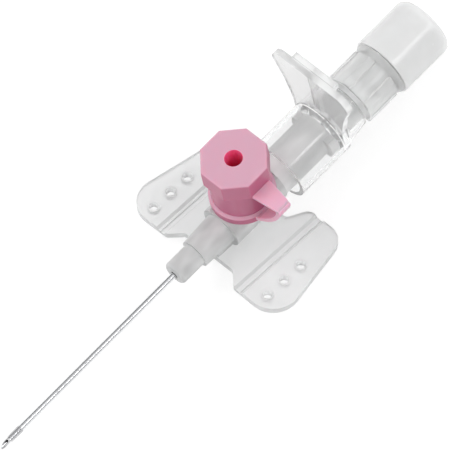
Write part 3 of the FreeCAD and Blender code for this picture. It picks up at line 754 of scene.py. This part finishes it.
# The floor as it is seen: a darker card that keeps the shadow faint, lifted to white
FLOOR_SHADOW = (0.28, 0.28, 0.28, 1)
FLOOR_LIFT = 0.78
# Lamps: width and length, place, and the point that each is turned to
SOFTBOX_SIZE = (0.26, 0.26)
SOFTBOX_PLACE = (-0.13, 0.19, 0.30)
SOFTBOX_TARGET = (0.01, 0, 0)
STRIP_SIZE = (0.20, 0.05)
STRIP_PLACE = (0.10, -0.24, 0.265)
STRIP_TARGET = (0.10, 0, 0)
# Dark cards beside the wings, which only show in reflections and at the rims of clear pieces:
# direction, cosines of the angles where a card starts and where it is full, and its level
CARDS = (
    ((0.12, 0.92, 0.36), 0.56, 0.85, 0.38),
    ((0.25, -0.94, 0.22), 0.80, 0.94, 0.55),
)


def aimed(obj, place, target):
    """Puts a lamp at a place and turns it to a point."""
    obj.location = place
    obj.rotation_mode = "QUATERNION"
    obj.rotation_quaternion = (Vector(target) - Vector(place)).to_track_quat("-Z", "Y")


def seen_rays(tree):
    """1 for rays from the camera, off a glossy surface or through a clear one."""
    path = tree.nodes.new("ShaderNodeLightPath")
    seen = path.outputs["Is Camera Ray"]
    for kind in ("Is Glossy Ray", "Is Transmission Ray"):
        seen = maths(tree, "MAXIMUM", seen, path.outputs[kind])
    return seen


class CANNULA_OT_stage(bpy.types.Operator):
    """Make the floor, the lights and the camera"""
    bl_idname = "cannula.stage"
    bl_label = "Stage"

    def execute(self, context):
        scene = context.scene
        look = scene.cannula_stage
        scene.view_settings.view_transform = "Standard"
        self.make_world(scene, look.ambient)
        self.make_floor()
        key = self.make_lamp("key_softbox", look.key, SOFTBOX_SIZE)
        aimed(key, SOFTBOX_PLACE, SOFTBOX_TARGET)
        key.visible_glossy = False
        strip = self.make_lamp("strip_light", look.strip, STRIP_SIZE)
        aimed(strip, STRIP_PLACE, STRIP_TARGET)
        self.make_camera(scene, look)
        return {"FINISHED"}

    def make_world(self, scene, ambient):
        """Even light on the object, and white with dark cards for what is seen."""
        world = bpy.data.worlds.new("even_light")
        scene.world = world
        world.use_nodes = True
        tree = world.node_tree
        tree.nodes.clear()
        even = tree.nodes.new("ShaderNodeBackground")
        even.inputs["Color"].default_value = WHITE
        even.inputs["Strength"].default_value = ambient
        white = tree.nodes.new("ShaderNodeBackground")
        white.inputs["Color"].default_value = WHITE
        tree.links.new(self.dark_cards(tree), white.inputs["Strength"])
        mix = tree.nodes.new("ShaderNodeMixShader")
        output = tree.nodes.new("ShaderNodeOutputWorld")
        tree.links.new(seen_rays(tree), mix.inputs["Fac"])
        tree.links.new(even.outputs["Background"], mix.inputs[1])
        tree.links.new(white.outputs["Background"], mix.inputs[2])
        tree.links.new(mix.outputs["Shader"], output.inputs["Surface"])

    def dark_cards(self, tree):
        """Strength 1 all round and for the camera, but less in the direction of a card."""
        place = tree.nodes.new("ShaderNodeTexCoord").outputs["Generated"]
        camera = tree.nodes.new("ShaderNodeLightPath").outputs["Is Camera Ray"]
        level = 1.0
        for direction, edge, core, dark in CARDS:
            towards = tree.nodes.new("ShaderNodeVectorMath")
            towards.operation = "DOT_PRODUCT"
            towards.inputs[1].default_value = Vector(direction).normalized()
            tree.links.new(place, towards.inputs[0])
            card = ranged(tree, towards.outputs["Value"], 1.0, dark, start=edge, end=core)
            level = maths(tree, "MINIMUM", card, level)
        return maths(tree, "MAXIMUM", level, camera)

    def make_floor(self):
        """A plain pale card under the object, which is seen as white with a faint shadow."""
        mesh = bpy.data.meshes.new("floor")
        half = FLOOR_HALF
        corners = [(-half, -half, 0), (half, -half, 0), (half, half, 0), (-half, half, 0)]
        mesh.from_pydata(corners, [], [(0, 1, 2, 3)])
        floor = in_scene("floor", mesh)
        material = bpy.data.materials.new("pale_floor")
        material.use_nodes = True
        tree = material.node_tree
        tree.nodes.clear()
        card = tree.nodes.new("ShaderNodeBsdfDiffuse")
        card.inputs["Color"].default_value = FLOOR_CARD
        shadow = tree.nodes.new("ShaderNodeBsdfDiffuse")
        shadow.inputs["Color"].default_value = FLOOR_SHADOW
        lift = tree.nodes.new("ShaderNodeEmission")
        lift.inputs["Color"].default_value = WHITE
        lift.inputs["Strength"].default_value = FLOOR_LIFT
        seen = tree.nodes.new("ShaderNodeAddShader")
        mix = tree.nodes.new("ShaderNodeMixShader")
        output = tree.nodes.new("ShaderNodeOutputMaterial")
        tree.links.new(shadow.outputs["BSDF"], seen.inputs[0])
        tree.links.new(lift.outputs["Emission"], seen.inputs[1])
        tree.links.new(seen_rays(tree), mix.inputs["Fac"])
        tree.links.new(card.outputs["BSDF"], mix.inputs[1])
        tree.links.new(seen.outputs["Shader"], mix.inputs[2])
        tree.links.new(mix.outputs["Shader"], output.inputs["Surface"])
        mesh.materials.append(material)

    def make_lamp(self, name, power, size):
        """Soft lamp with a lit rectangle."""
        lamp = bpy.data.lights.new(name, "AREA")
        lamp.shape = "RECTANGLE"
        lamp.size, lamp.size_y = size
        lamp.energy = power
        return in_scene(name, lamp)

    def make_camera(self, scene, look):
        """Long lens from the photograph's side, with the needle point at the lower left."""
        data = bpy.data.cameras.new("camera")
        data.sensor_width = SENSOR_WIDTH
        data.lens = look.lens
        camera = in_scene("camera", data)
        towards = CAMERA_RIGHT.cross(CAMERA_UP).normalized()
        right = CAMERA_RIGHT.normalized()
        up = towards.cross(right)
        turn = Matrix((right, up, towards)).transposed()
        middle = Vector((POINT_X, 0, AXIS_HEIGHT)) + turn @ Vector(PICTURE_MIDDLE)
        distance = look.view_width * look.lens / SENSOR_WIDTH
        camera.matrix_world = Matrix.Translation(middle + towards * distance) @ turn.to_4x4()
        data.clip_start = NEAREST_SEEN
        data.clip_end = FARTHEST_SEEN
        scene.camera = camera


class CANNULA_PT_panel(bpy.types.Panel):
    """Lists the steps that build the cannula"""
    bl_label = "IV cannula"
    bl_idname = "CANNULA_PT_panel"
    bl_space_type = "VIEW_3D"
    bl_region_type = "UI"
    bl_category = "Cannula"

    def draw(self, context):
        for step in STEPS:
            self.layout.operator(step.bl_idname)


STEPS = (
    CANNULA_OT_needle,
    CANNULA_OT_hub,
    CANNULA_OT_port_cap,
    CANNULA_OT_grip,
    CANNULA_OT_chamber,
    CANNULA_OT_rear_cap,
    CANNULA_OT_stage,
)
GROUPS = (CannulaFinishes, CannulaWings, CannulaStage)


def register():
    """Registers the settings, the steps and the panel."""
    for kind in GROUPS + STEPS + (CANNULA_PT_panel,):
        bpy.utils.register_class(kind)
    bpy.types.Scene.cannula_finishes = PointerProperty(type=CannulaFinishes)
    bpy.types.Scene.cannula_wings = PointerProperty(type=CannulaWings)
    bpy.types.Scene.cannula_stage = PointerProperty(type=CannulaStage)


def unregister():
    """Takes the settings, the steps and the panel away again."""
    del bpy.types.Scene.cannula_stage
    del bpy.types.Scene.cannula_wings
    del bpy.types.Scene.cannula_finishes
    for kind in reversed(GROUPS + STEPS + (CANNULA_PT_panel,)):
        bpy.utils.unregister_class(kind)


def main():
    """Builds every visible piece and the stage."""
    register()
    bpy.ops.cannula.needle()
    bpy.ops.cannula.hub()
    bpy.ops.cannula.port_cap()
    bpy.ops.cannula.grip()
    bpy.ops.cannula.chamber()
    bpy.ops.cannula.rear_cap()
    bpy.ops.cannula.stage()


if __name__ == "__main__":
    main()
